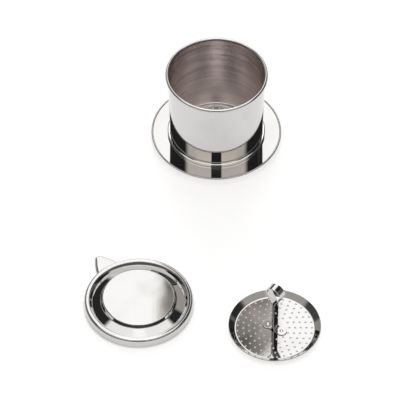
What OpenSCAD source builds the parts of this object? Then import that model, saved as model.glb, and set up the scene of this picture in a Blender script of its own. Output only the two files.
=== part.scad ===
// Vietnamese coffee filter: saucer, brewing chamber, perforated press and lid, in millimetres.
// The origin is on the chamber's axis, at the foot of the saucer's collar. The chamber stands on the
// saucer, and the press and the lid lie beside it on the same surface.

/* [Sheet metal] */
// Thickness of the pressed sheet
sheet = 0.6; // [0.4:0.1:0.8]

/* [Chamber] */
// Inside diameter of the chamber at its mouth
chamber_bore = 65; // [60:0.5:70]
// How much narrower the chamber is at its foot
chamber_taper = 1.8; // [0:0.2:3]
// Height of the chamber from its seat on the saucer to the top of its rim
chamber_height = 57.5; // [48:0.5:70]
// Diameter of the rolled rim
rim_roll = 2.5; // [2:0.1:4]
// Height of the seam bead at the chamber's foot
seam_height = 2.2; // [1.8:0.1:2.6]
// How far the seam bead stands out of the wall
seam_width = 1.5; // [1:0.1:1.8]

/* [Filter plate] */
// How far the perforated floor hangs below the chamber's seat
floor_drop = 2; // [1.6:0.1:3]
// Diameter of the floor's holes
floor_hole = 1; // [0.6:0.1:1.6]
// Distance between the floor's rings of holes
floor_ring_step = 4; // [3:0.25:6]
// Distance between neighbouring holes in a ring of the floor
floor_hole_pitch = 4.2; // [3:0.1:7]
// Plain margin between the floor's outer ring of holes and its step
floor_margin = 2.4; // [1.5:0.1:4]

/* [Saucer] */
// Outside diameter of the saucer
saucer_d = 90; // [82:0.5:100]
// Diameter of the saucer's rolled edge
saucer_hem = 1.5; // [1:0.1:2.2]
// Outside diameter of the collar that drops into a cup
collar_d = 55; // [48:0.5:56]
// Depth of the collar below the saucer's plate
collar_depth = 5; // [4:0.25:8]

/* [Press] */
// Gap between the press and the chamber's foot, on each side
press_gap = 0.8; // [0.5:0.1:2]
// Width of the press's flared edge
press_flare = 4.1; // [3:0.1:5]
// Height of the press's flared edge
press_rise = 3.8; // [2.5:0.1:5]
// Diameter of the press's holes
press_hole = 1.4; // [0.8:0.1:1.6]
// Rings of holes in the press
press_rings = 5; // [3:1:5]
// Radius of the press's inner ring of holes
press_inner_ring = 9.7; // [8.5:0.1:11]
// Distance between neighbouring holes in a ring of the press
press_hole_pitch = 4.75; // [3:0.05:6]
// Plain margin between the press's outer ring of holes and its flared edge
press_margin = 2; // [1.2:0.1:3]

/* [Press handle] */
// Width of the handle's strip
strap_w = 5.4; // [4:0.1:7]
// Thickness of the handle's strip
strap_t = 0.7; // [0.5:0.1:1]
// Height of the handle above the press's dish
handle_h = 41.5; // [34:0.5:48]
// Outside width of the handle's loop
loop_w = 11.5; // [9:0.1:13]
// Height of the handle's loop
loop_h = 16; // [13:0.5:20]
// Radius of the handle's round feet
foot_r = 3.6; // [3:0.1:4.2]
// Distance from the handle's middle to the centre of each foot
foot_reach = 5.3; // [4.8:0.1:6.5]
// Gap between the two legs of the folded strip
leg_gap = 0.3; // [0.2:0.1:1]
// Inside radius of the bends above the feet
foot_bend = 1.6; // [1:0.1:2]
// Diameter of the rivets' shanks
rivet_d = 1.6; // [1.2:0.1:2]
// Diameter of the rivets' heads
rivet_head_d = 2.6; // [2.2:0.1:3.2]
// Height of the rivets' heads
rivet_head_h = 0.4; // [0.3:0.1:0.8]
// Turn of the handle about the press's axis
handle_turn = -34; // [-180:1:180]

/* [Lid] */
// Gap between the lid's skirt and the chamber's rim, on each side
lid_gap = 0.6; // [0.3:0.1:1.2]
// Height of the lid's rounded rim
lid_rim_h = 6.4; // [5.6:0.1:8]
// Width of the lid's rim from its inner slope to its skirt
lid_rim_w = 3; // [2.8:0.1:3.6]
// Diameter of the lid's groove at its lowest line
lid_groove_d = 62.2; // [58:0.2:62.6]
// Height of the lid's groove above the surface that the lid lies on
lid_groove_h = 4.1; // [3.4:0.1:5]
// Diameter of the lid's raised middle
lid_middle_d = 47.6; // [38:0.4:50]
// Height of the lid's raised middle
lid_middle_h = 8.5; // [7.6:0.1:11]
// Radial run of the steep step round the raised middle
lid_step_run = 1.2; // [0.9:0.1:2]
// Height of the steep step round the raised middle
lid_step_drop = 2.1; // [1.6:0.1:2.6]
// How far the tab reaches past the lid's skirt
tab_reach = 14.6; // [8:0.1:20]
// Width of the tab at its tip
tab_tip_w = 3.6; // [3:0.1:8]
// Width of the tab where it leaves the skirt
tab_root_w = 18.8; // [14:0.1:22]
// Height of the tab above the surface that the lid lies on
tab_lift = 0.8; // [0:0.1:2]
// Direction of the tab
tab_turn = 124; // [-180:1:180]

/* [Layout] */
// Place of the press beside the chamber, to the right
press_x = 38; // [30:1:60]
// Place of the press beside the chamber, to the front
press_y = -172; // [-200:1:-160]
// Place of the lid beside the chamber, to the right
lid_x = -52; // [-70:1:-48]
// Place of the lid beside the chamber, to the front
lid_y = -152; // [-180:1:-145]

/* [Hidden] */
$fn = 96;

// Clearances: the chamber's floor in the collar, the wall in its seam, a rivet in its hole
nest_gap = 0.5;
seam_fit = 0.1;
rivet_fit = 0.05;

// Bend radii along the middle of the sheet, and the steps of each bend
bend_small = 0.7;
bend_seam = 0.5;
bend_lid = 1.2;
bend_neck = 4;
bend_steps = 6;
loop_steps = 20;
mid = sheet / 2;

// Chamber: the rim rolls outwards from the bore, and the seam wraps the foot of the tapered wall
bore_r = chamber_bore / 2;
foot_bore_r = bore_r - chamber_taper / 2;
wall_r = foot_bore_r + sheet;
rim_r = bore_r + rim_roll;
seam_r = wall_r + seam_width;
seat_z = collar_depth + sheet;
rim_z = seat_z + chamber_height - rim_roll / 2;
wall_foot_z = seat_z + sheet;

// Saucer: its plate lies on the collar
saucer_r = saucer_d / 2;
collar_r = collar_d / 2;
plate_z = collar_depth + mid;
hem_r = saucer_r - saucer_hem / 2;

// Filter plate: its floor hangs inside the collar
step_r = collar_r - sheet - nest_gap - mid;
floor_z = seat_z - floor_drop + mid;
flange_z = seat_z + mid;
floor_outer_ring = step_r - bend_small - floor_margin;

// Press: a dish that passes down the bore
press_r = foot_bore_r - press_gap;
dish_r = press_r - press_flare;
press_outer_ring = dish_r - press_margin;
press_ring_step = (press_outer_ring - press_inner_ring) / (press_rings - 1);

// Handle: its feet lie on the dish, its two legs meet below the loop, and the loop's circle starts where the
// legs touch it
foot_z = sheet + strap_t / 2;
leg_x = (leg_gap + strap_t) / 2;
loop_r = (loop_w - strap_t) / 2;
loop_z = sheet + handle_h - loop_w / 2;
neck_z = sheet + handle_h - loop_h;
neck_drop = loop_z - neck_z;
loop_start = acos(loop_r / norm([leg_x, neck_drop])) - atan2(neck_drop, leg_x);

// Lid: a cap whose skirt goes over the chamber's rim
lid_r = rim_r + lid_gap + sheet;
skirt_r = lid_r - mid;
lid_shoulder = 1.4;
rim_in_r = skirt_r - lid_rim_w;
middle_r = lid_middle_d / 2;
tab_spread = 4;
tab_blend = 8;

steel = [0.82, 0.82, 0.80];
bright_steel = [0.90, 0.90, 0.91];
satin_steel = [0.68, 0.65, 0.63];

function unit(v) = v / norm(v);
function left_of(v) = [-v[1], v[0]];
function mirrored(p) = [for (i = [len(p) - 1:-1:0]) [-p[i][0], p[i][1]]];
function flipped(p) = [for (i = [len(p) - 1:-1:0]) [p[i][0], -p[i][1]]];

// Arc of radius r that rounds the corner at b between a and c
function corner(a, b, c, r) =
    let (to_a = unit(a - b), to_c = unit(c - b))
    let (half = acos(to_a * to_c) / 2, centre = b + unit(to_a + to_c) * r / sin(half))
    let (start = b + to_a * r / tan(half) - centre)
    let (side = to_a[0] * to_c[1] - to_a[1] * to_c[0] > 0 ? -1 : 1)
    [for (i = [0:bend_steps])
        let (q = side * (180 - 2 * half) * i / bend_steps)
        centre + [start[0] * cos(q) - start[1] * sin(q), start[0] * sin(q) + start[1] * cos(q)]];

// Path through points p whose inner corners are rounded by radii r
function rounded(p, r) =
    let (n = len(p) - 1)
    concat([p[0]], [for (i = [1:n - 1]) each corner(p[i - 1], p[i], p[i + 1], r[i - 1])], [p[n]]);

// Path moved sideways by d, with mitred corners
function beside(p, d) =
    let (n = len(p) - 1)
    [for (i = [0:n])
        let (ahead = unit(p[min(i + 1, n)] - p[min(i, n - 1)]))
        let (behind = unit(p[max(i, 1)] - p[max(i - 1, 0)]))
        let (normal = unit(left_of(ahead) + left_of(behind)))
        p[i] + normal * d / (normal * left_of(ahead))];

function turned_back(p) = [for (i = [len(p) - 1:-1:0]) p[i]];

// Section of a strip of thickness t along a path
module strip(path, t) {
    polygon(concat(beside(path, -t / 2), turned_back(beside(path, t / 2))));
}

// Rings of holes through a sheet, from an outer radius inwards
module hole_rings(outer, step, rings, pitch, d, z) {
    for (ring = [0:rings - 1]) {
        r = outer - ring * step;
        count = max(1, round(2 * PI * r / pitch));
        for (i = [0:count - 1])
            rotate([0, 0, 360 * i / count])
                translate([r, 0, z - sheet])
                    cylinder(d = d, h = 2 * sheet, $fn = 24);
    }
}

// Both feet's centres along the handle
module at_feet() {
    for (side = [-1, 1])
        rotate([0, 0, handle_turn])
            translate([side * foot_reach, 0, 0])
                children();
}

module at_press() {
    translate([press_x, press_y, 0]) children();
}

module saucer() {
    path = rounded([[collar_r - mid, 0], [collar_r - mid, plate_z], [hem_r, plate_z]], [sheet + mid]);
    color(bright_steel) rotate_extrude() {
        strip(path, sheet);
        translate([hem_r, plate_z]) circle(d = saucer_hem);
    }
}

module chamber_wall() {
    color(steel) rotate_extrude() {
        polygon(
            [[foot_bore_r, wall_foot_z], [wall_r, wall_foot_z], [bore_r + sheet, rim_z], [bore_r, rim_z]]);
        translate([bore_r + rim_roll / 2, rim_z]) circle(d = rim_roll);
    }
}

module filter_plate() {
    path = rounded(
        [[0, floor_z], [step_r, floor_z], [step_r, flange_z], [wall_r + seam_width / 2, flange_z]],
        [bend_small, bend_small]);
    seam_top = seat_z + seam_height;
    seam = rounded(
        [[wall_r + seam_fit, seat_z], [seam_r, seat_z], [seam_r, seam_top], [wall_r + seam_fit, seam_top]],
        [bend_seam, bend_seam]);
    rings = floor(floor_outer_ring / floor_ring_step);
    color(satin_steel) difference() {
        rotate_extrude() {
            strip(path, sheet);
            polygon(seam);
        }
        hole_rings(floor_outer_ring, floor_ring_step, rings, floor_hole_pitch, floor_hole, floor_z);
    }
}

module press_disc() {
    path = rounded([[0, mid], [dish_r, mid], [press_r - mid, press_rise]], [bend_lid]);
    color(bright_steel) at_press() difference() {
        rotate_extrude() strip(path, sheet);
        hole_rings(press_outer_ring, press_ring_step, press_rings, press_hole_pitch, press_hole, mid);
        at_feet() translate([0, 0, -sheet]) cylinder(d = rivet_d + 2 * rivet_fit, h = 3 * sheet);
    }
}

module press_handle() {
    crown = [for (i = [0:loop_steps])
        let (q = loop_start + (180 - 2 * loop_start) * i / loop_steps)
        [loop_r * cos(q), loop_z + loop_r * sin(q)]];
    leg = rounded(
        [[foot_reach, foot_z], [leg_x, foot_z], [leg_x, neck_z], crown[0]],
        [foot_bend + strap_t / 2, bend_neck]);
    inner = [for (i = [1:loop_steps - 1]) crown[i]];
    path = concat(leg, inner, mirrored(leg));
    color(steel) at_press() difference() {
        union() {
            rotate([90, 0, handle_turn])
                linear_extrude(strap_w, center = true)
                    strip(path, strap_t);
            at_feet() translate([0, 0, sheet]) cylinder(r = foot_r, h = strap_t);
        }
        at_feet() cylinder(d = rivet_d + 2 * rivet_fit, h = foot_z + strap_t);
    }
}

module handle_rivets() {
    head_z = sheet + strap_t;
    color(satin_steel) at_press() at_feet() {
        cylinder(d = rivet_d, h = head_z + rivet_head_h);
        translate([0, 0, head_z]) cylinder(d = rivet_head_d, h = rivet_head_h);
    }
}

module lid() {
    middle_z = lid_middle_h - mid;
    crest_z = lid_rim_h - mid;
    path = rounded(
        [[0, middle_z], [middle_r, middle_z], [middle_r + lid_step_run, middle_z - lid_step_drop],
            [lid_groove_d / 2, lid_groove_h - mid], [rim_in_r, crest_z], [skirt_r, crest_z], [skirt_r, 0]],
        [bend_small, bend_lid, bend_lid, bend_small, lid_shoulder]);
    root = [sqrt(pow(lid_r, 2) - pow(tab_root_w / 2 + tab_spread, 2)), tab_root_w / 2 + tab_spread];
    tip_x = lid_r + tab_reach;
    edge = rounded(
        [root, [lid_r + mid, tab_root_w / 2], [tip_x, tab_tip_w / 2], [tip_x, 0]],
        [tab_blend, tab_tip_w / 3]);
    color(bright_steel) translate([lid_x, lid_y, 0]) {
        rotate_extrude() strip(path, sheet);
        difference() {
            rotate([0, 0, tab_turn])
                translate([0, 0, tab_lift])
                    linear_extrude(sheet)
                        polygon(concat(edge, flipped(edge)));
            cylinder(r = skirt_r, h = lid_rim_h);
        }
    }
}

saucer();
chamber_wall();
filter_plate();
press_disc();
press_handle();
handle_rivets();
lid();
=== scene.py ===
# %% [markdown]
# # A drip coffee filter in polished sheet steel
# The packed model gives the frame: where each pressing lies and how large it is. The frame's own meshes are
# cut into coarse facets, which a mirror would show at once, so each pressing is drawn again here as a
# smooth surface of the same size, and then it gets its finish. Each piece prints its size beside the packed
# one. Lengths are named in millimetres, and they become Blender's metres where a mesh or a node takes them.

# %% Load the frame
import math

import bpy
import bmesh
import numpy as np
from mathutils.geometry import delaunay_2d_cdt
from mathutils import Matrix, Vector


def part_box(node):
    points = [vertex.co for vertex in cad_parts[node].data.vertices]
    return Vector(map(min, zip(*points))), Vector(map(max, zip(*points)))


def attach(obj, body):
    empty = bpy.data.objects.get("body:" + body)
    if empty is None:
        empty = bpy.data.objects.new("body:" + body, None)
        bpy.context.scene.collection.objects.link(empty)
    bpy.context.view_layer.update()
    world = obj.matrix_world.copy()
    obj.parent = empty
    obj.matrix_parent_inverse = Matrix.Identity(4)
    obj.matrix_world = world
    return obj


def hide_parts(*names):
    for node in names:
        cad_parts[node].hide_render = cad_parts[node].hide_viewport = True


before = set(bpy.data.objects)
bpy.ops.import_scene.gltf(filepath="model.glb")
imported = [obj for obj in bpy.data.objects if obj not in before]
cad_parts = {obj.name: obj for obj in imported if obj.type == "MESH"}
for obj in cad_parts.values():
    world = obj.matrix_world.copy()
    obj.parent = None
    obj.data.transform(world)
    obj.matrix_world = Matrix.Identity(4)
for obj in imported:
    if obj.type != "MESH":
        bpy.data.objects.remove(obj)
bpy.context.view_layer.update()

MM = 0.001


def box_mm(node):
    """Lowest and highest corner of a packed node, in millimetres."""
    return np.array(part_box(node)) / MM


# %% [markdown]
# ## The camera
# A long lens far away draws all the round edges as ellipses of nearly one shape, as in a catalogue picture.
# A real camera has a focal length in millimetres on a sensor 36 mm wide, so a length in pixels is turned
# into that. The camera could be aimed with a constraint. Its place and its pitch are set directly here,
# because they are known from the ellipses.

# %% Camera
IMAGE_SIZE = 400
FOCAL_PIXELS = 3500
CAMERA_PLACE = (-11.3, -1639.3, 1788.3)
CAMERA_PITCH = 48.53
SENSOR = 36.0
FAR = 20000

camera_data = bpy.data.cameras.new("studio_camera")
camera_data.sensor_width = SENSOR
camera_data.lens = FOCAL_PIXELS / IMAGE_SIZE * SENSOR
camera_data.clip_end = FAR * MM
camera = bpy.data.objects.new("studio_camera", camera_data)
camera.location = np.array(CAMERA_PLACE) * MM
camera.rotation_euler = (math.radians(90 - CAMERA_PITCH), 0, 0)
bpy.context.collection.objects.link(camera)
bpy.context.scene.camera = camera
print("lens, mm:", round(camera_data.lens, 1))

# %% [markdown]
# ## Drawing a sheet's section
# Every piece here is pressed, drawn or rolled from one thin sheet, so a section starts as a path along the
# middle of the sheet. A path could be drawn by hand as a curve. Here it is a few corner points whose
# corners become arcs, as a press tool's radii would make them. Beside each arc lies a guard point, so that
# the smooth shading of the bend doesn't leak into the flat stretch next to it.

# %% Paths
GUARD = 0.05
BEND_STEPS = 14


def unit(vectors):
    """Vectors divided by their lengths, along the last axis."""
    return vectors / np.linalg.norm(vectors, axis=-1, keepdims=True)


def arc(centre, radius, start, end, steps):
    """Points on a circle: centre plus radius times cosine and sine of angles that run evenly, in degrees."""
    q = np.radians(np.linspace(start, end, steps + 1))
    return np.array(centre) + radius * np.column_stack((np.cos(q), np.sin(q)))


def rounded(corners, radii):
    """Straight lines whose inner corners are arcs: an arc's points turn from its first arm to its last."""
    corners = np.asarray(corners, float)
    path = [corners[:1]]
    for before, at, after, radius in zip(corners, corners[1:], corners[2:], radii):
        back, ahead = unit(before - at), unit(after - at)
        half = math.acos(back @ ahead) / 2
        reach, turn = radius / math.tan(half), math.pi - 2 * half
        centre = at + unit(back + ahead) * radius / math.sin(half)
        first, last = at + back * reach - centre, at + ahead * reach - centre
        q = np.linspace(0, turn, BEND_STEPS + 1)[:, None]
        bend = centre + (np.sin(turn - q) * first + np.sin(q) * last) / math.sin(turn)
        path += [[at + back * (reach + GUARD)], bend, [at + ahead * (reach + GUARD)]]
    return np.vstack(path + [corners[-1:]])


print("points in a bend:", BEND_STEPS + 1)

# %% [markdown]
# ## The two sides of a sheet
# A path becomes a sheet when its points move half a thickness to the left for one side, and half a
# thickness to the right for the other. Solidify could thicken a finished mesh, but it would leave the edges
# square. A polished edge has lost its corners, so here it is half an ellipse.

# %% Sheet sides and edges
SHEET = 0.6
EDGE = 0.12
EDGE_TURNS = np.linspace(0, math.pi, 7)


def left_normals(path):
    """Unit normals to the left of a path: at each point the mean of the normals of its two sides."""
    sides = unit(np.diff(path, axis=0))
    left = np.column_stack((-sides[:, 1], sides[:, 0]))
    return unit(np.vstack((left[:1], left)) + np.vstack((left, left[-1:])))


def sheet_edge(left, right):
    """Rounded edge of a sheet: half an ellipse from its left corner to its right one, bulging ahead."""
    centre, arm = (left + right) / 2, (left - right) / 2
    ahead = np.array((arm[1], -arm[0])) * EDGE / np.linalg.norm(arm)
    q = EDGE_TURNS[:, None]
    return centre + np.cos(q) * arm + np.sin(q) * ahead


print("sheet, mm:", SHEET)

# %% [markdown]
# ## Turning a section
# Turning a section about an axis is what a spinning lathe does to a sheet. Blender's Screw modifier could
# do it. Whole arrays are quicker and exact: every point of the outline is turned by every angle at once,
# and the faces are the squares of that grid.

# %% Grids and turning
TURN_STEP = 1.25
TURNS = np.radians(np.arange(0, 360, TURN_STEP))


def grid_faces(rows, columns, wrap_columns, wrap_rows=True):
    """Squares of a grid numbered row by row. A wrapped side joins its last line to its first one."""
    i, j = np.meshgrid(np.arange(rows - (not wrap_rows)), np.arange(columns - (not wrap_columns)),
                       indexing="ij")
    k, m = (i + 1) % rows, (j + 1) % columns
    return np.stack((i * columns + j, k * columns + j, k * columns + m, i * columns + m), -1).reshape(-1, 4)


def turned(outline, centre=(0, 0), closed=True, angles=TURNS):
    """Surface of revolution: radius times cosine and sine of each angle, and the outline's own height.

    A closed outline has its last point joined to its first one.
    """
    outline = np.broadcast_to(outline, (len(angles),) + np.shape(outline)[-2:])
    r, z = outline[..., 0], outline[..., 1]
    q = angles[:, None]
    points = np.stack((centre[0] + r * np.cos(q), centre[1] + r * np.sin(q), z), -1)
    return points.reshape(-1, 3), [grid_faces(len(angles), outline.shape[1], closed)]


def joined(*surfaces):
    """Several surfaces as one: their points in a row, with each one's faces counted on from those before."""
    starts = np.cumsum([0] + [len(points) for points, _ in surfaces])
    blocks = [block + start for (_, found), start in zip(surfaces, starts) for block in found]
    return np.vstack([points for points, _ in surfaces]), blocks


print("steps round an axis:", len(TURNS))

# %% [markdown]
# ## From points to a piece
# A piece is a mesh that moves with one body of the packed model and takes the place of one of its nodes.
# Points that meet at the axis or at a seam are merged, and the sign of the enclosed volume tells whether
# the faces look outwards. Edit mode could do this by hand, and a bmesh does the same from a script. A closed
# surface has no open edges, so their number is printed, with the piece's size beside the packed one.

# %% Pieces
SMOOTH_ANGLE = math.radians(25)
MERGE = 0.002


def add_piece(name, body, node, surface):
    """A closed mesh in metres that rides on a body and stands for a packed node."""
    points, blocks = surface
    mesh = bpy.data.meshes.new(name)
    mesh.from_pydata((points * MM).tolist(), [], [face for block in blocks for face in block.tolist()])
    work = bmesh.new()
    work.from_mesh(mesh)
    bmesh.ops.remove_doubles(work, verts=work.verts, dist=MERGE * MM)
    if work.calc_volume(signed=True) < 0:
        bmesh.ops.reverse_faces(work, faces=work.faces)
    open_edges = sum(not edge.is_manifold for edge in work.edges)
    work.to_mesh(mesh)
    work.free()
    mesh.polygons.foreach_set("use_smooth", np.ones(len(mesh.polygons), bool))
    mesh.set_sharp_from_angle(angle=SMOOTH_ANGLE)
    piece = bpy.data.objects.new(name, mesh)
    bpy.context.collection.objects.link(piece)
    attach(piece, body)
    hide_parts(node)
    size = np.ptp(np.array([corner[:] for corner in piece.bound_box]), axis=0) / MM
    packed = np.ptp(box_mm(node), axis=0)
    print(name, "faces:", len(mesh.polygons), "open edges:", open_edges,
          "size, mm:", np.round(size, 2).tolist(), "packed:", np.round(packed, 2).tolist())
    return piece


# %% [markdown]
# ## The saucer
# The saucer is a flat ring that lies on a cup. A short collar under it drops into the cup's mouth, and its
# outer edge is rolled so that it is stiff and safe to hold. A disc with a torus round it could stand for it,
# but a mirror shows where two meshes cross. So its section is one outline: the sheet's two sides, with the
# rolled edge as an arc that leaves the upper side and comes back to the lower one.

# %% Saucer
_, saucer_high = box_mm("saucer")
HEM = 1.5
HEM_STEPS = 30
PLATE_TOP = 5.6
COLLAR_R = 27.5
COLLAR_BEND = 0.9

plate_z = PLATE_TOP - SHEET / 2
hem_r = saucer_high[0] - HEM / 2
hem_half = math.degrees(math.asin(SHEET / HEM))
plate_end = hem_r - HEM / 2 * math.cos(math.radians(hem_half))


def saucer_outline():
    """Collar and plate along the middle of the sheet, its two sides, and the rolled edge between them."""
    collar_mid = COLLAR_R - SHEET / 2
    path = rounded([(collar_mid, EDGE), (collar_mid, plate_z), (plate_end, plate_z)], [COLLAR_BEND])
    normal = left_normals(path)
    inner, outer = path + normal * SHEET / 2, path - normal * SHEET / 2
    roll = arc((hem_r, plate_z), HEM / 2, 180 - hem_half, hem_half - 180, HEM_STEPS)
    return np.vstack((inner, roll, outer[::-1], sheet_edge(outer[0], inner[0])))


saucer = add_piece("saucer_pressing", "saucer", "saucer", turned(saucer_outline()))

# %% [markdown]
# ## The chamber's wall
# The wall is a drawn tube with a slight taper, which lets it leave the press tool. At its mouth the sheet
# rolls outwards to a round rim, which catches a bright line all the way round. A bevel could round the rim,
# but a true roll is an arc of about three quarters of a circle that starts at the bore and ends against the
# outside of the wall.

# %% Chamber wall
wall_low, wall_high = box_mm("chamber_wall")
RIM_ROLL = 2.5
RIM_STEPS = 40
TAPER = 1.8

rim_r = wall_high[0]
bore_r = rim_r - RIM_ROLL
foot_bore_r = bore_r - TAPER / 2
wall_r = foot_bore_r + SHEET
rim_z = wall_high[2] - RIM_ROLL / 2
foot_z = wall_low[2]


def wall_outline():
    """Up the bore, round the rolled rim to where it meets the outside, and down the outside."""
    roll_r = RIM_ROLL / 2
    meets = -math.degrees(math.acos((SHEET - roll_r) / roll_r))
    roll = arc((bore_r + roll_r, rim_z), roll_r, 180, meets, RIM_STEPS)
    bore = [(foot_bore_r, foot_z), (bore_r, rim_z - GUARD)]
    outside = [(bore_r + SHEET, roll[-1, 1] - GUARD), (wall_r, foot_z)]
    return np.vstack((bore, roll, outside))


chamber = add_piece("chamber_drawn_wall", "chamber", "chamber_wall", turned(wall_outline()))

# %% [markdown]
# ## Holes in a plate
# The chamber's floor and the press are punched with rings of small holes. Cutting hundreds of holes with
# booleans is slow and leaves ragged faces. Instead the flat plate is drawn once in two dimensions: a
# Delaunay triangulation joins the rim's circle and all the holes' circles, and the triangles that fall
# inside a hole are dropped.

# %% Hole patterns
HOLE_STEPS = 16
HOLE_TURNS = np.radians(np.arange(0, 360, 360 / HOLE_STEPS))
WHOLE_HULL = 0
SAME_POINT = 1e-6


def hole_rings(radii, pitch):
    """Centres of holes in rings: as many as fit a ring at the pitch, spaced evenly from the first angle."""
    rings = []
    for radius in radii:
        count = max(1, round(2 * math.pi * radius / pitch))
        rings.append(arc((0, 0), radius, 0, 360, count)[:-1])
    return np.vstack(rings)


def circle_edges(circles, steps):
    """Edges that close each circle of points, numbered circle by circle."""
    first = np.arange(circles * steps).reshape(circles, steps)
    return np.stack((first, np.roll(first, -1, axis=1)), -1).reshape(-1, 2)


def plate_triangles(radius, centres, hole_radii):
    """Triangles between a rim circle and hole circles, without those whose middle lies inside a hole."""
    ring = np.column_stack((np.cos(HOLE_TURNS), np.sin(HOLE_TURNS)))
    holes = (centres[:, None] + hole_radii[:, None, None] * ring).reshape(-1, 2)
    rim = radius * np.column_stack((np.cos(TURNS), np.sin(TURNS)))
    edges = np.vstack((circle_edges(1, len(rim)), circle_edges(len(centres), len(ring)) + len(rim)))
    found = delaunay_2d_cdt(np.vstack((rim, holes)).tolist(), edges.tolist(), [], WHOLE_HULL, SAME_POINT)
    points, triangles = np.array(found[0]), np.array(found[2])
    middles = points[triangles].mean(axis=1)
    gaps = np.linalg.norm(middles[:, None] - centres, axis=2) - hole_radii
    return points, triangles[gaps.min(axis=1) > 0]


print("steps round a hole:", HOLE_STEPS)

# %% [markdown]
# ## Perforated plates
# A punch leaves a hole whose wall is as high as the sheet is thick, and a polishing mop takes the sharpness
# off its lip. So the plate is that drawing at two heights, joined by the holes' walls, and each wall has a
# small chamfer at both ends. All the walls are made at once, as one array of holes by heights by angles.

# %% Plates
HOLE_LIP = 0.07


def perforated_plate(radius, centres, bores, bottom, top):
    """A plate's two sides, and each hole's wall: circles down the hole that widen to a chamfered lip."""
    flat, triangles = plate_triangles(radius, centres, bores + HOLE_LIP)
    sides = [(np.column_stack((flat, np.full(len(flat), z))), [triangles[:, ::step]])
             for z, step in ((top, 1), (bottom, -1))]
    heights = np.array((top, top - HOLE_LIP, bottom + HOLE_LIP, bottom))
    reach = bores[:, None] + HOLE_LIP * np.array((1, 0, 0, 1))
    x = centres[:, 0, None, None] + reach[..., None] * np.cos(HOLE_TURNS)
    y = centres[:, 1, None, None] + reach[..., None] * np.sin(HOLE_TURNS)
    z = np.broadcast_to(heights[:, None], x.shape)
    walls = np.stack((x, y, z), -1).reshape(-1, 3)
    one = grid_faces(len(heights), HOLE_STEPS, True, wrap_rows=False)
    starts = np.arange(len(centres)) * len(heights) * HOLE_STEPS
    wall_faces = (starts[:, None, None] + one[:, ::-1]).reshape(-1, 4)
    return joined(*sides, (walls, [wall_faces]))


print("chamfer of a hole, mm:", HOLE_LIP)

# %% [markdown]
# ## The chamber's floor
# The filter plate is the chamber's floor. It hangs a little below the wall's foot, its edge steps up to a
# flange under the wall, and a bead is folded up round the foot of the wall as a seam. The bead's top is a
# shallow curve, so some part of it always faces a light, and it shows as a bright ring between the chamber
# and the saucer. Only the middle has holes, so the perforated plate and the turned ring round it are made
# apart, with the same points where they meet, and become one mesh.

# %% Filter plate
floor_low, floor_high = box_mm("filter_plate")
STEP_R = 26.1
SMALL_BEND = 0.7
SEAM_HEIGHT = 2.2
SEAM_FIT = 0.1
SEAM_CREST = 0.85
SEAM_DROPS = (0.04, 0.28)
SEAM_CURVE = 1.2
SEAM_BEND = 0.35
FLOOR_RINGS = np.arange(23, 5, -4)
FLOOR_PITCH = 4.2
FLOOR_HOLE_R = 0.5
FLOOR_PLATE_R = 24.6

seam_r = floor_high[0]
floor_z = floor_low[2] + SHEET / 2
flange_z = foot_z - SHEET / 2


def floor_ring_outline():
    """From the perforated floor up the step and out along the flange, round the bead, and back underneath."""
    wall_gap = wall_r + SEAM_FIT
    path = rounded([(FLOOR_PLATE_R, floor_z), (STEP_R, floor_z), (STEP_R, flange_z), (wall_gap, flange_z)],
                   [SMALL_BEND, SMALL_BEND])
    normal = left_normals(path)
    seat = foot_z - SHEET
    top = seat + SEAM_HEIGHT
    fold = rounded([(wall_gap, top), (wall_gap + SEAM_CREST, top - SEAM_DROPS[0]),
                    (seam_r, top - SEAM_DROPS[1]), (seam_r, seat), (wall_gap, seat)],
                   [SEAM_CURVE, SEAM_BEND, SEAM_BEND])
    return np.vstack((path + normal * SHEET / 2, fold[:-1], (path - normal * SHEET / 2)[::-1]))


floor_holes = hole_rings(FLOOR_RINGS, FLOOR_PITCH)
floor_plate = perforated_plate(FLOOR_PLATE_R, floor_holes, np.full(len(floor_holes), FLOOR_HOLE_R),
                               floor_z - SHEET / 2, floor_z + SHEET / 2)
filter_floor = add_piece("filter_floor", "chamber", "filter_plate",
                         joined(floor_plate, turned(floor_ring_outline(), closed=False)))
print("floor holes:", len(floor_holes))

# %% [markdown]
# ## The press
# The press is a shallow dish that is lowered into the chamber before the water is poured. Its flared edge
# keeps it level there, and its holes spread the water. A texture of dots could stand for the holes, but what
# lies under the dish has to show through them. The two holes nearest the middle hold the handle's rivets, so
# they go into the same triangulation as the drain holes.

# %% Press dish
press_low, press_high = box_mm("press_disc")
press_centre = (press_low[:2] + press_high[:2]) / 2
DISH_R = 26.7
FLARE_R = 30.5
PRESS_RISE = 3.8
PRESS_BEND = 1.2
PRESS_RINGS = np.linspace(24.7, 9.7, 5)
PRESS_PITCH = 4.75
PRESS_HOLE_R = 0.7
PRESS_PLATE_R = 25.6
PRESS_MARGIN = (25.75, 0.09)
HANDLE_TURN = math.radians(-34)
FOOT_REACH = 5.3
RIVET_R = 0.8
RIVET_FIT = 0.05

handle_along = np.array((math.cos(HANDLE_TURN), math.sin(HANDLE_TURN)))
handle_across = np.array((-handle_along[1], handle_along[0]))


def press_ring_outline():
    """From the perforated plate round the bend and up the flare, over its edge, and back underneath."""
    flat, rise = PRESS_MARGIN
    path = rounded([(PRESS_PLATE_R, SHEET / 2), (flat, SHEET / 2), (DISH_R, SHEET / 2 + rise),
                    (FLARE_R, PRESS_RISE)], [PRESS_BEND, PRESS_BEND])
    path[-1] -= unit(path[-1] - path[-2]) * EDGE
    normal = left_normals(path)
    upper, lower = path + normal * SHEET / 2, path - normal * SHEET / 2
    return np.vstack((upper, sheet_edge(upper[-1], lower[-1]), lower[::-1]))


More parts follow.
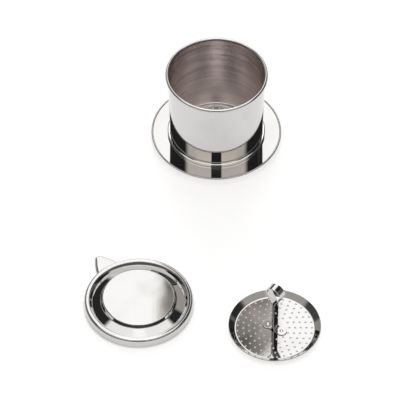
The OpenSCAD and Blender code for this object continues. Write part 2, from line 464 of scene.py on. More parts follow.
drain_holes = hole_rings(PRESS_RINGS, PRESS_PITCH)
rivet_places = np.array((1, -1))[:, None] * FOOT_REACH * handle_along
bores = np.concatenate((np.full(len(drain_holes), PRESS_HOLE_R), np.full(2, RIVET_R + RIVET_FIT)))
press_points, press_faces = joined(
    perforated_plate(PRESS_PLATE_R, np.vstack((drain_holes, rivet_places)), bores, 0, SHEET),
    turned(press_ring_outline(), closed=False))
press_dish = add_piece("press_dish", "press", "press_disc",
                       (press_points + np.append(press_centre, 0), press_faces))
print("press holes:", len(drain_holes))

# %% [markdown]
# ## The handle's path
# The press's handle is one strip. It starts as a round foot, bends up, runs beside its other half, opens to
# a loop for a fingertip and comes down again as its own mirror image, so only half of the path is drawn. A
# curve with a bevel could follow it, but the feet are wider than the strip. So each step of the path has
# its own width, and along the foot that width is the height of a circle.

# %% Handle path
_, handle_high = box_mm("press_handle")
STRIP_WIDTH = 5.4
STRIP = 0.7
LOOP_WIDTH = 11.5
LOOP_HEIGHT = 16.0
LEG_GAP = 0.3
FOOT_R = 3.6
FOOT_BEND = 1.95
FOOT_STEPS = 30
NECK_BEND = 4.0
CROWN_STEPS = 24

strip_foot_z = SHEET + STRIP / 2
leg_x = (LEG_GAP + STRIP) / 2
loop_r = (LOOP_WIDTH - STRIP) / 2
loop_z = handle_high[2] - LOOP_WIDTH / 2
neck_z = handle_high[2] - LOOP_HEIGHT
neck_drop = loop_z - neck_z
loop_start = math.acos(loop_r / math.hypot(leg_x, neck_drop)) - math.atan2(neck_drop, leg_x)


def half_strip():
    """Path, half width and outline direction from one foot's tip to the crown's top.

    Along the foot the half width is the foot's radius times the cosine of an angle, and the place along the
    path its sine. Past the foot the strip keeps its width, and the loop is a circle from where the leg
    touches it.
    """
    waist = -math.acos(STRIP_WIDTH / 2 / FOOT_R)
    q = np.linspace(math.pi / 2, waist, FOOT_STEPS)
    foot = np.column_stack((FOOT_REACH + FOOT_R * np.sin(q), np.full(len(q), strip_foot_z)))
    crown = arc((0, loop_z), loop_r, math.degrees(loop_start), 90, CROWN_STEPS)
    leg = rounded([(foot[-1, 0] - GUARD, strip_foot_z), (leg_x, strip_foot_z), (leg_x, neck_z), crown[0]],
                  [FOOT_BEND, NECK_BEND])
    path = np.vstack((foot, leg, crown[1:]))
    rest = len(path) - len(q)
    width = np.append(FOOT_R * np.cos(q), np.full(rest, STRIP_WIDTH / 2))
    outward = np.vstack((np.column_stack((np.sin(q), np.cos(q))), np.tile((0.0, 1.0), (rest, 1))))
    return path, width, outward


print("loop's straight sides end at, degrees:", round(math.degrees(loop_start), 1))

# %% [markdown]
# ## The handle's strip
# Now a section is carried along the path. It has two flat sides and two rounded edges, and it is laid out
# from the path's own normal and the handle's turn on the press. The half path is mirrored first, so that the
# crown has no seam.

# %% Handle strip
STRIP_EDGE = 0.15
STRIP_EDGE_TURNS = np.radians((90, 90, 60, 30, 0, 0, -30, -60, -90, -90))


def handle_strip():
    """The half strip and its mirror image, with a section of two flat sides and two rounded edges."""
    path, width, outward = half_strip()
    path = np.vstack((path, path[-2::-1] * (-1, 1)))
    width = np.append(width, width[-2::-1])
    outward = np.vstack((outward, outward[-2::-1] * (-1, 1)))
    normal = left_normals(path)
    q = STRIP_EDGE_TURNS
    inset = STRIP_EDGE * (1 - np.cos(q))
    inset[[0, -1]] += GUARD
    depth = STRIP_EDGE * np.sin(q) + (STRIP / 2 - STRIP_EDGE) * np.repeat((1, -1), len(q) // 2)
    inset, depth = np.append(inset, inset[::-1]), np.append(depth, depth[::-1])
    side = np.repeat((1, -1), len(q))
    along = path[:, None, 0] - inset * outward[:, None, 0] + depth * normal[:, None, 0]
    up = path[:, None, 1] + depth * normal[:, None, 1]
    across = side * (width[:, None] - inset * outward[:, None, 1])
    flat = press_centre + along[..., None] * handle_along + across[..., None] * handle_across
    points = np.concatenate((flat, up[..., None]), -1).reshape(-1, 3)
    return points, [grid_faces(len(path), len(side), True, wrap_rows=False)]


handle = add_piece("handle_strip", "press", "press_handle", handle_strip())

# %% [markdown]
# ## The rivets
# Two small rivets hold the feet to the dish. A rivet is a turned shape: a shank that fills its hole, flush
# underneath, and a head that the setting tool has pressed to a low dome. It is so small that an eighth of
# the steps round its axis is enough.

# %% Rivets
HEAD_R = 1.3
DOME_STEPS = 10
RIVET_TURNS = TURNS[::8]

head_low = SHEET + STRIP
head_high = box_mm("handle_rivets")[1][2]


def rivet_outline():
    """From the dome's top down its arc to the head's edge, in to the shank, and down to its flat end."""
    rise = head_high - head_low
    ball = (HEAD_R ** 2 + rise ** 2) / (2 * rise)
    rim = math.degrees(math.asin(HEAD_R / ball))
    dome = arc((0, head_high - ball), ball, 90, 90 - rim, DOME_STEPS)
    return np.vstack((dome, [(RIVET_R, head_low), (RIVET_R, 0), (0, 0)]))


rivets = add_piece("rivet_pair", "press", "handle_rivets",
                   joined(*[turned(rivet_outline(), press_centre + place, False, RIVET_TURNS)
                            for place in rivet_places]))

# %% [markdown]
# ## The lid's tab
# The lid has a pointed tab to lift it by. The tab could be a second plate stuck to the skirt. In a real
# pressing the skirt's edge itself flares out to the tab, so what is needed is how far that edge reaches at
# every angle. The tab's outline is drawn with rounded corners, and its distance from the lid's axis is read
# off along each ray.

# %% Lid tab
lid_low, lid_high = box_mm("lid")
LID_R = 36.2
TAB_REACH = 14.6
TAB_TIP = 3.6
TAB_ROOT = 18.8
TAB_SPREAD = 4.0
TAB_BLEND = 8.0
TAB_CORNER = TAB_TIP / 3
TAB_TURN = math.radians(124)
TAB_SPAN = 27
TAB_STEP = 0.25

lid_centre = np.array((lid_high[0] - LID_R, lid_low[1] + LID_R))
tab_angles = np.radians(np.arange(-TAB_SPAN, TAB_SPAN, TAB_STEP))
plain_angles = np.radians(np.arange(TAB_SPAN, 360 - TAB_SPAN, TURN_STEP))
lid_angles = np.concatenate((tab_angles, plain_angles)) + TAB_TURN


def tab_reach(angles):
    """How far the tab goes past the skirt at each angle: to where that ray crosses the tab's outline."""
    side = TAB_ROOT / 2 + TAB_SPREAD
    root = (math.sqrt(LID_R ** 2 - side ** 2), side)
    tip = LID_R + TAB_REACH
    line = rounded([root, (LID_R + SHEET / 2, TAB_ROOT / 2), (tip, TAB_TIP / 2), (tip, 0)],
                   [TAB_BLEND, TAB_CORNER])
    turn, reach = np.arctan2(line[:, 1], line[:, 0]), np.linalg.norm(line, axis=1)
    away = np.abs((angles - TAB_TURN + math.pi) % (2 * math.pi) - math.pi)
    return np.interp(away, turn[::-1], reach[::-1], right=LID_R) - LID_R


print("tab reaches, mm:", round(float(tab_reach(lid_angles).max()), 2))

# %% [markdown]
# ## The lid's top
# From the middle outwards the lid has a raised plate, a steep step, a gentle slope down to a groove, a
# rounded rim and a skirt that goes over the chamber's mouth. The steps make the thin sheet stiff. They could
# be extruded ring by ring in edit mode. As one path with one radius for each bend they stay easy to change,
# and they are pressed in one stroke on the real lid too.

# %% Lid top
MIDDLE_R = 23.8
MIDDLE_TOP = 8.5
STEP_RUN = 1.2
STEP_DROP = 2.1
GROOVE_R = 31.1
GROOVE_TOP = 4.1
RIM_TOP = 6.4
RIM_WIDTH = 3.0
LID_BEND = 1.2
GROOVE_BEND = 0.7
SHOULDER = 1.4

skirt_r = LID_R - SHEET / 2


def lid_top_path():
    """Raised middle, step, groove, rounded rim and the upper skirt, along the middle of the sheet."""
    half = SHEET / 2
    return rounded(
        [(0, MIDDLE_TOP - half), (MIDDLE_R, MIDDLE_TOP - half),
         (MIDDLE_R + STEP_RUN, MIDDLE_TOP - STEP_DROP - half), (GROOVE_R, GROOVE_TOP - half),
         (skirt_r - RIM_WIDTH, RIM_TOP - half), (skirt_r, RIM_TOP - half), (skirt_r, 0)],
        [SMALL_BEND, LID_BEND, GROOVE_BEND, SMALL_BEND, SHOULDER])[:-1]


print("points along the lid's top:", len(lid_top_path()))

# %% [markdown]
# ## The lid's skirt
# The section now changes with the angle: the top is the same all round, and the lowest part of the skirt
# turns outwards by as much as the tab reaches there. The tab's own edge is bent down a little, which keeps
# it from cutting a finger. A boolean could join a tab to a plain skirt, but it would leave a sharp corner
# where the real sheet bends.

# %% Lid skirt
TAB_Z = 1.1
TAB_FULL = 3.0
LIP_RUN = 1.6
LIP_DROP = 0.7
LIP_STEPS = np.linspace(0, 1, 8)
LEAST_LEG = 0.1
FLARE_BEND = 1.0
FLARE_LEG = 0.8
FLARE_STEPS = np.linspace(0, 1, 9)
FLARE_TURNS = np.linspace(0, math.pi / 2, 60)


def lid_skirt(angles):
    """Path, normals and last direction at each angle: a bend outwards, then a leg as long as the tab.

    The turn grows from none to a right angle as the reach grows, and past that only the leg grows. The tab's
    edge drops with the square of the way along a narrow lip. The lip is longer where the edge runs aslant,
    by one over the sine of the angle between the edge and the leg.
    """
    reach = tab_reach(angles)
    run = LIP_RUN * np.hypot(1, np.gradient(reach, angles) / (LID_R + reach))[:, None]
    flare_reach = FLARE_BEND * (1 - np.cos(FLARE_TURNS)) + FLARE_LEG * np.sin(FLARE_TURNS)
    turn = np.interp(reach, flare_reach, FLARE_TURNS)[:, None]
    leg = np.maximum(FLARE_LEG, reach - FLARE_BEND)[:, None] - EDGE
    start = FLARE_LEG * np.cos(turn) + (FLARE_BEND + TAB_Z) * np.sin(turn)
    q = turn * FLARE_STEPS
    bend = np.stack((skirt_r + FLARE_BEND * (1 - np.cos(q)), start - FLARE_BEND * np.sin(q)), -1)
    ahead = np.concatenate((np.sin(turn), -np.cos(turn)), -1)[:, None]
    along = leg - np.minimum(run, leg - LEAST_LEG) * (1 - LIP_STEPS)
    straight = bend[:, -1:] + along[..., None] * ahead
    straight[..., 1] -= LIP_DROP * np.clip(reach / TAB_FULL, 0, 1)[:, None] * LIP_STEPS ** 2
    bend_normal = np.stack((np.cos(q), np.sin(q)), -1)
    leg_normal = np.repeat(bend_normal[:, -1:], len(LIP_STEPS), axis=1)
    return np.concatenate((bend, straight), 1), np.concatenate((bend_normal, leg_normal), 1), ahead


print("points along a skirt:", len(FLARE_STEPS) + len(LIP_STEPS), "skirts:", len(lid_angles))

# %% [markdown]
# ## The whole lid
# Every angle's section is the common top and then that angle's skirt, with the sheet's two sides and a
# rounded edge. A lathe could turn only one section, but a press tool can follow any outline, and so can an
# array: all the sections together are angles by points, and turning each by its own angle gives the lid.

# %% Lid
def lid_outlines(angles):
    """One outline for each angle: the upper side, half an ellipse as the edge, and the lower side."""
    top = lid_top_path()
    top_normal = left_normals(top)
    top_normal[-1] = (1, 0)
    skirt, skirt_normal, ahead = lid_skirt(angles)
    path = np.concatenate((np.tile(top, (len(angles), 1, 1)), skirt), 1)
    normal = np.concatenate((np.tile(top_normal, (len(angles), 1, 1)), skirt_normal), 1)
    arm = normal[:, -1:] * SHEET / 2
    q = EDGE_TURNS[:, None]
    edge = path[:, -1:] + np.cos(q) * arm + np.sin(q) * ahead * EDGE
    upper, lower = path + normal * SHEET / 2, path - normal * SHEET / 2
    return np.concatenate((upper, edge, lower[:, ::-1]), 1)


lid = add_piece("lid_pressing", "lid", "lid",
                turned(lid_outlines(lid_angles), lid_centre, False, lid_angles))

# %% [markdown]
# ## Shader maths as Python expressions
# A finish is a formula of the place on the piece: rings from polishing, hairlines, smudges. Node trees for
# that are long to wire by hand. One small class wraps a socket, so that sums and products of sockets read
# like ordinary expressions and add their Math nodes as they go, and one method adds any other node.

# %% Wires
class Wire:
    """A socket to calculate with: each operator adds a Math node to the socket's own tree."""

    def __init__(self, socket):
        self.socket = socket

    def node(self, kind, settings=None, sockets=None, output=0):
        """Any node: its settings first, then a value or a wire into each socket, by name or number."""
        tree = self.socket.id_data
        made = tree.nodes.new(kind)
        for name, value in (settings or {}).items():
            setattr(made, name, value)
        for key, value in (sockets or {}).items():
            if isinstance(value, Wire):
                tree.links.new(value.socket, made.inputs[key])
            else:
                made.inputs[key].default_value = value
        return Wire(made.outputs[output]) if made.outputs else None

    def math(self, operation, *values):
        """A Math node of the wire and up to two more values."""
        return self.node("ShaderNodeMath", {"operation": operation}, dict(enumerate((self, *values))))

    def __add__(self, other):
        return self.math("ADD", other)

    def __sub__(self, other):
        return self.math("SUBTRACT", other)

    def __rsub__(self, other):
        return self.math("MULTIPLY_ADD", -1.0, other)

    def __mul__(self, other):
        return self.math("MULTIPLY", other)

    __radd__ = __add__
    __rmul__ = __mul__

    def larger(self, other):
        """The larger of two values."""
        return self.math("MAXIMUM", other)

    def smooth(self, low, high):
        """Smooth step: nought below low, one above high, and an S-shaped rise between them."""
        return self.node("ShaderNodeMapRange", {"interpolation_type": "SMOOTHSTEP"},
                         {"Value": self, "From Min": low, "From Max": high})

    def vector(self, operation, *values, output=0):
        """A Vector Math node of the wire and one more value."""
        return self.node("ShaderNodeVectorMath", {"operation": operation},
                         dict(enumerate((self, *values))), output)

    def noise(self, scale, stretch=(1, 1, 1), detail=2.0):
        """Noise of a vector wire, with a number of cells per unit of length and a stretch along each axis."""
        place = self.vector("MULTIPLY", stretch)
        return self.node("ShaderNodeTexNoise", {}, {"Vector": place, "Scale": scale, "Detail": detail})

    def from_axis(self, centre):
        """Distance from an upright axis through a centre in millimetres."""
        arm = self.vector("SUBTRACT", (centre[0] * MM, centre[1] * MM, 0)).vector("MULTIPLY", (1, 1, 0))
        return arm.vector("LENGTH", output="Value")

    def between(self, low, high):
        """Colour between two colours, plain ones or wires, by a wire from nought to one."""
        low, high = (colour if isinstance(colour, Wire) else (*colour, 1) for colour in (low, high))
        return self.node("ShaderNodeMix", {"data_type": "RGBA"}, {0: self, 6: low, 7: high}, 2)


print("a wire's methods:", [name for name in vars(Wire) if not name.startswith("_")])

# %% [markdown]
# ## Bare metal
# All the finishes here are bare metal, so they share their last steps: a Principled shader that is wholly
# metallic, with its own colour and roughness, and a bump that bends the reflections. A displaced mesh could
# show the relief as well, but it is only hundredths of a millimetre deep, and a bump is enough to see it in
# a mirror.

# %% Steel
def new_finish(name):
    """An empty material, and the wire of the place on the piece, in metres."""
    material = bpy.data.materials.new(name)
    material.use_nodes = True
    material.node_tree.nodes.clear()
    return material, Wire(material.node_tree.nodes.new("ShaderNodeTexCoord").outputs["Object"])


def set_steel(place, colour, roughness, height, depth):
    """Bare metal: a colour, a roughness, and a height times a depth that bends the reflections."""
    normal = place.node("ShaderNodeBump", {}, {"Distance": depth * MM, "Height": height}, "Normal")
    shader = place.node("ShaderNodeBsdfPrincipled", {}, {"Base Color": colour, "Metallic": 1.0,
                                                         "Roughness": roughness, "Normal": normal})
    place.node("ShaderNodeOutputMaterial", {}, {"Surface": shader})


bare = [piece for piece in (saucer, chamber, filter_floor, press_dish, handle, rivets, lid)
        if not piece.data.materials]
print("pieces that wait for a finish:", len(bare))

# %% [markdown]
# ## Mirror polish
# Polished stainless steel is a mirror with a memory of its making: faint rings from the polishing mop,
# hairlines, and soft smudges where it was held. The rings follow the distance from the piece's own axis, so
# one function makes the finish for each round piece. The sheet is never quite flat, and a shallow, wide
# bump lets the reflections swim a little as they do in a real pressing.

# %% Polished finish
BRIGHT = (0.625, 0.62, 0.61)
WORN = (0.57, 0.56, 0.55)
POLISH = 0.012
RINGS_PER_METRE = 2600.0
RING_ROUGH = 0.012
RING_WEAR = 0.5
RING_RELIEF = 0.02
HAIRS_PER_METRE = 420.0
HAIR_ROUGH = 0.01
HAIR_STRETCH = (1, 0.04, 1)
HAIR_EDGE = (0.62, 0.7)
SMUDGES_PER_METRE = 45.0
SMUDGE_EDGE = (0.45, 0.75)
SMUDGE_ROUGH = 0.03
SMUDGE_WEAR = 0.4
WAVES_PER_METRE = 38.0
SHEET_WAVE = 0.02
STRIP_WAVE = 0.01


def smudges_on(place):
    """Soft smudges: wide noise, of which only the upper part shows."""
    return place.noise(SMUDGES_PER_METRE, detail=3.0).smooth(*SMUDGE_EDGE)


def polished(name, centre, wave_depth):
    """Mirror steel with rings about a centre: noise of the radius, smudges, hairlines and a slow wave."""
    material, place = new_finish(name)
    rings = place.node("ShaderNodeTexNoise", {"noise_dimensions": "1D"},
                       {"W": place.from_axis(centre), "Scale": RINGS_PER_METRE, "Detail": 3.0})
    smudges = smudges_on(place)
    hairs = place.noise(HAIRS_PER_METRE, HAIR_STRETCH).smooth(*HAIR_EDGE)
    roughness = POLISH + RING_ROUGH * rings + SMUDGE_ROUGH * smudges + HAIR_ROUGH * hairs
    colour = (RING_WEAR * rings + SMUDGE_WEAR * smudges).between(BRIGHT, WORN)
    wave = place.noise(WAVES_PER_METRE, detail=1.0) + RING_RELIEF * rings
    set_steel(place, colour, roughness, wave, wave_depth)
    return material


for piece, centre, depth in ((saucer, (0, 0), SHEET_WAVE), (press_dish, press_centre, SHEET_WAVE),
                             (lid, lid_centre, SHEET_WAVE), (handle, press_centre, STRIP_WAVE)):
    piece.data.materials.append(polished(piece.name + "_polish", centre, depth))
    print(piece.name, "has", piece.data.materials[0].name)

# %% [markdown]
# ## Brushed bore, polished outside
# The chamber is polished outside, but its inside keeps the marks of the tool that drew it: fine lines that
# run round, with a few wider bands. Lines round an axis are noise that changes fast along the height and
# hardly at all round the wall. A mask of the radius, with the taper taken out, tells inside from outside.
# The bore's pinkish tint is a painted reflection of coffee grounds, and it darkens towards the foot.

# %% Chamber finish
# painted reflection: these pinkish tints stand for coffee grounds mirrored in the bore
BORE_REFLECTION_TINT = (0.99, 0.905, 0.89)
BORE_REFLECTION_DARK = (0.62, 0.55, 0.54)
BORE_ROUGH = 0.2
LINES_PER_METRE = 1300.0
LINE_ROUGH = 0.14
LINE_RELIEF = 0.5
BANDS_PER_METRE = 330.0
BAND_RELIEF = 2.0
ROUND_STRETCH = (0.03, 0.03, 1)
MARKS = 0.6
MARK_EDGE = (0.42, 0.78)
INSIDE_EDGE = (0.2, 0.4)
RIM_FADE = 0.5
FOOT_TONE = 0.3
TOWARDS_RIM_SHARE = 0.85
BORE_DEPTH = 0.08
OUTSIDE_ROUGH = 0.02
OUTSIDE_WEAR = 0.5
OUTSIDE_WAVE = 0.2


def chamber_finish():
    """Polished outside, lines round the axis inside: noise of the height, mixed by a mask of the radius."""
    material, place = new_finish("chamber_brushed")
    height = place.node("ShaderNodeSeparateXYZ", {}, {0: place}, "Z")
    upright = place.from_axis((0, 0)) + TAPER / 2 / (rim_z - foot_z) * (rim_z * MM - height)
    outside = upright.smooth(*[(bore_r + edge) * MM for edge in INSIDE_EDGE])
    inside = (1 - outside) * (1 - height.smooth((rim_z - RIM_FADE) * MM, rim_z * MM))
    lines = place.noise(LINES_PER_METRE, ROUND_STRETCH, detail=3.0)
    bands = place.noise(BANDS_PER_METRE, ROUND_STRETCH)
    smudges = smudges_on(place)
    # painted reflection: the bore's pinkish tint, which gets darker towards the foot
    towards_rim = FOOT_TONE + (1 - FOOT_TONE) * height.smooth(foot_z * MM, TOWARDS_RIM_SHARE * rim_z * MM)
    marks = (MARKS * lines + MARKS * bands).smooth(*MARK_EDGE)
    marks_and_reflection = (marks * towards_rim).between(BORE_REFLECTION_DARK, BORE_REFLECTION_TINT)
    colour = inside.between((OUTSIDE_WEAR * smudges).between(BRIGHT, WORN), marks_and_reflection)
    roughness = OUTSIDE_ROUGH + SMUDGE_ROUGH * smudges + inside * (BORE_ROUGH + LINE_ROUGH * lines)
    wave = place.noise(WAVES_PER_METRE, detail=1.0)
    relief = inside * (LINE_RELIEF * lines + BAND_RELIEF * bands) + OUTSIDE_WAVE * wave
    set_steel(place, colour, roughness, relief, BORE_DEPTH)
    return material


chamber.data.materials.append(chamber_finish())
print(chamber.name, "has", chamber.data.materials[0].name)

# %% [markdown]
# ## Satin floor and rivets
# The floor and the rivets are not polished. Their grain is fine and has no direction, so an even noise in
# the roughness and a very shallow bump are enough. The seam's bead, which was rolled against a smooth tool,
# is bright, and again a mask of the radius tells it from the floor.

# %% Satin finish
SATIN = (0.90, 0.88, 0.87)
SATIN_DARK = (0.80, 0.78, 0.77)
SATIN_ROUGH = 0.16
BEAD_BRIGHT = (0.84, 0.83, 0.82)
BEAD_POLISH = 0.03
BEAD_REACH = 2
GRAIN_PER_METRE = 2800.0
GRAIN_DEPTH = 0.002
GRAIN_ROUGH = 0.12
GRAIN_TINT = 0.5
STAINS_PER_METRE = 60.0
STAIN_EDGE = (0.4, 0.8)
STAIN_ROUGH = 0.08
STAIN_TINT = 0.5


def satin_finish(bead_r):
    """Even fine grain: noise at about a third of a millimetre in the roughness, the colour and the relief."""
    material, place = new_finish("satin_steel")
    grain = place.noise(GRAIN_PER_METRE, detail=3.0)
    stains = place.noise(STAINS_PER_METRE, detail=3.0).smooth(*STAIN_EDGE)
    bead = place.from_axis((0, 0)).math("COMPARE", bead_r * MM, BEAD_REACH * MM)
    dull = (GRAIN_TINT * grain + STAIN_TINT * stains).between(SATIN, SATIN_DARK)
    colour = bead.between(dull, BEAD_BRIGHT)
    rough = SATIN_ROUGH + GRAIN_ROUGH * grain + STAIN_ROUGH * stains
    roughness = (1 - bead) * rough + BEAD_POLISH * bead
    set_steel(place, colour, roughness, (1 - bead) * grain, GRAIN_DEPTH)
    return material


satin = satin_finish(seam_r)
for piece in (filter_floor, rivets):
    piece.data.materials.append(satin)
    print(piece.name, "has", satin.name)

# %% [markdown]
# ## The studio
# A mirror shows nothing but its surroundings, so the studio is what gives this object its tones. Area lamps
# could do this, but a world that is a formula of direction has soft edges and no noise. The formula needs
# two angles: the height above the horizon, and the turn from straight behind the object, to the right. Each
# thing in the studio is a window in height times a window in turn, and a window is given by its two limits
# and how soft each of them is.

# %% Directions
world = bpy.data.worlds.new("studio")
bpy.context.scene.world = world
world.use_nodes = True
world.node_tree.nodes.clear()
direction = Wire(world.node_tree.nodes.new("ShaderNodeTexCoord").outputs["Generated"])


def degrees(wire):
    """A wire in radians, as degrees."""
    return wire * (180 / math.pi)


def window(wire, low, high, low_soft, high_soft):
    """One between two limits, with a soft edge at each."""
    rise = wire.smooth(low - low_soft, low + low_soft)
    return rise * (1 - wire.smooth(high - high_soft, high + high_soft))


x, y, z = (direction.node("ShaderNodeSeparateXYZ", {}, {0: direction}, axis) for axis in "XYZ")
height = degrees(z.math("ARCSINE"))
turn = degrees(x.math("ARCTAN2", y))
aside = turn.math("ABSOLUTE")
front_gap = 180 - aside
print("nodes for the directions:", len(world.node_tree.nodes))

# %% [markdown]
# ## Overhead and back
# A white sheet hangs overhead, brightest at its top, and another stands behind with a lamp above it. They
# make the flat tops white. On the camera's side the overhead sheet ends higher up, so that it doesn't drown
# the dimmer things that stand there.

# %% Overhead and back
OVERHEAD = 1.3
BACK = 1.52
FRONT_SIDE = (70, 100)
OVERHEAD_FOOT = (57, 62)
OVERHEAD_FRONT_FOOT = (64, 72)
ZENITH = (66, 88)
LAMP_HEIGHT = (66, 77, 3, 3)
LAMP_SIDES = (20, 40)
BACK_SIDES = (15, 21)
BACK_FOOT = (-6, 28)

front_side = 1 - front_gap.smooth(*FRONT_SIDE)
overhead = height.smooth(*OVERHEAD_FOOT) * (1 - front_side * (1 - height.smooth(*OVERHEAD_FRONT_FOOT)))
zenith = height.smooth(*ZENITH)
lamp = window(height, *LAMP_HEIGHT) * (1 - aside.smooth(*LAMP_SIDES))
back = (1 - aside.smooth(*BACK_SIDES)) * height.smooth(*BACK_FOOT)
bright = (OVERHEAD * overhead).larger(BACK * back.larger(zenith))
print("nodes with the white sheets:", len(world.node_tree.nodes))

# %% [markdown]
# ## On the camera's side
# Two dimmer sheets, one above the other, leave a dark gap where the camera stands, which shows as the dark
# stripe down the middle of the chamber's foot. Below them hang wings, which the back of the press's edge
# shows, and round it all the room is nearly dark.

# %% Front sheets
SHEETS = 1.08
UPPER_SHEET = 1.3
WINGS = 0.38
ROOM = 0.12
CAMERA_GAP = (11.4, 13.8)
LOWER_HEIGHT = (45.4, 49.8, 1.4, 0.8)
LOWER_SIDES = (69, 87)
UPPER_HEIGHT = (49.8, 55, 0.8, 1)
UPPER_SIDES = (44, 67)
WING_HEIGHT = (28, 45.4, 2, 1.4)
WING_SIDES = (74, 86)
ROOM_HEIGHT = (8, 46, 6, 2)
GAP_FOOT = (40, 44)

gap = front_gap.smooth(*CAMERA_GAP)
lower_sheet = (1 - front_gap.smooth(*LOWER_SIDES)) * window(height, *LOWER_HEIGHT)
upper_sheet = (1 - front_gap.smooth(*UPPER_SIDES)) * window(height, *UPPER_HEIGHT)
wings = (1 - front_gap.smooth(*WING_SIDES)) * window(height, *WING_HEIGHT)
room = front_side * window(height, *ROOM_HEIGHT) * (1 - (1 - gap) * height.smooth(*GAP_FOOT))
front = SHEETS * gap * (lower_sheet + UPPER_SHEET * upper_sheet) + WINGS * wings + ROOM * room
print("nodes with the front sheets:", len(world.node_tree.nodes))

# %% [markdown]
# ## Walls and dark bars
# Metal looks like metal because of its dark bands, and each band is a dark place that one slope of one
# piece shows. A slope that runs round a piece sees a slanting line of directions, so the dark bars slant
# too. Round the bars the walls are dim and not black: from the side, the flat pieces show them, and should
# look like steel there as well.

# %% Walls and bars
WALL_LEFT = 0.4
WALL_RIGHT = 0.18
WALL_SIDES = (26, 112, 4, 8)
WALL_HEIGHT = (4, 41, 3, 3)
WALL_CHANGE = (40, 70)
LID_BAR = (-9, 0, 1, 1.5)
PRESS_BAR = (-10.3, -2.3, 1, 1)
PRESS_BAR_SIDES = (60, 100, 3, 4)
PRESS_BAR_SLANT = 0.37
PRESS_BAR_DARK = 0.8
BANK_BAR = (20, 70, 3, 4)
BANK_BAR_GAP = (11, 28, 3, 2)

lid_bar = window(height + turn, *LID_BAR)
press_bar = window(height - PRESS_BAR_SLANT * aside, *PRESS_BAR) * window(aside, *PRESS_BAR_SIDES)
bank_bar = window(turn, *BANK_BAR) * (1 - window(height, *BANK_BAR_GAP))
bars = lid_bar.larger(PRESS_BAR_DARK * press_bar).larger(bank_bar)
walls = window(aside, *WALL_SIDES) * window(height, *WALL_HEIGHT) * (1 - bars)
walls = walls * (WALL_LEFT - (WALL_LEFT - WALL_RIGHT) * turn.smooth(*WALL_CHANGE))
print("nodes with the walls:", len(world.node_tree.nodes))

# %% [markdown]
# ## Small boards
# Three warm grey boards give the soft patches on the lid and the press: a tray along the line that the
# lid's right slope sees, a card low on the left for the press's edge, and a slanted boom before the back
# sheet, which half of the press's floor shows. A little noise mottles the boom, as things in a real room
# would.

# %% Boards
TRAY_SLANT = (-5, 1.5, 1.5, 0.8)
TRAY_HEIGHT = (12, 46, 4, 2)
TRAY_START = (0, 10)
CARD_SIDES = (-68, -26, 6, 6)
CARD_HEIGHT = (-2, 13, 3, 4)
BOOM_SIDES = (-0.95, 1.93, 0.16, 0.03)
BOOM_HEIGHT = (49.0, 56, 0.2, 1)
BOOM_SLANT = (52.62, 52.8)
BOOM_SHADE = 0.42
BOOM_MOTTLE = 0.8
MOTTLES = 140.0
MOTTLE_STRETCH = (1, 1, 0.6)

tray = window(height - turn, *TRAY_SLANT) * window(height, *TRAY_HEIGHT) * turn.smooth(*TRAY_START)
card = window(turn, *CARD_SIDES) * window(height, *CARD_HEIGHT)
boom = window(turn, *BOOM_SIDES) * window(height, *BOOM_HEIGHT) * (1 - (height + turn).smooth(*BOOM_SLANT))
shade = (BOOM_SHADE + BOOM_MOTTLE * direction.noise(MOTTLES, MOTTLE_STRETCH)) * boom
print("nodes with the boards:", len(world.node_tree.nodes))

# %% [markdown]
# ## The world's strength
# Where two of these overlap, the brighter one shows. The camera itself sees plain white, so that the
# backdrop is paper and only the mirrors show the studio. What is warm is tinted a little, as lamps in a
# room are, and the plain view transform keeps white paper white.

# %% World
DARK = 0.03
LAMP = 1.2
TRAY = 0.45
CARD = 0.35
WHITE = (1, 1, 1)
WARM = (1.0, 0.93, 0.86)

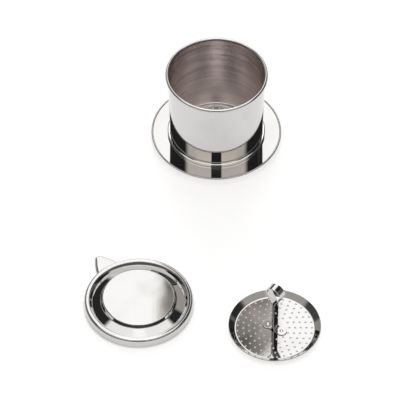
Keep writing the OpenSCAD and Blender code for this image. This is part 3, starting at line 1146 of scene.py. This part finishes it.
light = DARK + (bright + LAMP * lamp) * (1 - shade)
for dim in (front, walls, DARK + TRAY * tray, DARK + CARD * card):
    light = light.larger(dim)
warm = front.larger(boom).larger(tray + card).between(WHITE, WARM)
background = direction.node("ShaderNodeBackground", {}, {"Color": warm, "Strength": light})
backdrop = direction.node("ShaderNodeBackground", {}, {"Color": (*WHITE, 1), "Strength": 1.0})
seen = direction.node("ShaderNodeLightPath", {}, {}, "Is Camera Ray")
mixed = direction.node("ShaderNodeMixShader", {}, {0: seen, 1: background, 2: backdrop})
direction.node("ShaderNodeOutputWorld", {}, {"Surface": mixed})
bpy.context.scene.view_settings.view_transform = "Standard"
print("studio world nodes:", len(world.node_tree.nodes))

# %% [markdown]
# ## The floor
# The floor is plain white paper, far larger than the object. Its own glow stands for the light that a white
# room throws back, so that it stays pale and only a thin shadow shows where steel meets it. That light
# can't reach the paper under a plate, so an ambient occlusion node dims the glow there, and the press's
# holes show as grey dots.

# %% Floor
FLOOR_SIZE = 6000
FLOOR_DROP = 0.2
PAPER = ((0.8, 0.8, 0.8), (0.82, 0.82, 0.82))
PAPER_CLOUDS = 3.0
PAPER_ROUGH = 0.9
GLOW = 0.55
COVERED = (0.15, 0.15, 0.15)
COVER_GAP = 1.2
COVER_RAYS = 8

floor_mesh = bpy.data.meshes.new("paper_floor")
corners = np.array(((-1, -1, 0), (1, -1, 0), (1, 1, 0), (-1, 1, 0))) * FLOOR_SIZE / 2 - (0, 0, FLOOR_DROP)
floor_mesh.from_pydata((corners * MM).tolist(), [], [(0, 1, 2, 3)])
paper = bpy.data.objects.new("paper_floor", floor_mesh)
bpy.context.collection.objects.link(paper)
paper_finish, place = new_finish("white_paper")
clouds = place.noise(PAPER_CLOUDS).between(*PAPER)
open_sky = place.node("ShaderNodeAmbientOcclusion", {"samples": COVER_RAYS},
                      {"Distance": COVER_GAP * MM}, "AO")
matte = place.node("ShaderNodeBsdfPrincipled", {}, {
    "Base Color": clouds, "Roughness": PAPER_ROUGH,
    "Emission Color": open_sky.between(COVERED, WHITE), "Emission Strength": GLOW})
place.node("ShaderNodeOutputMaterial", {}, {"Surface": matte})
floor_mesh.materials.append(paper_finish)
print("paper floor, mm:", FLOOR_SIZE, "nodes of its finish:", len(paper_finish.node_tree.nodes))

# %% [markdown] The dressed object has to be as large as the packed one; each piece prints its size beside the packed node's.
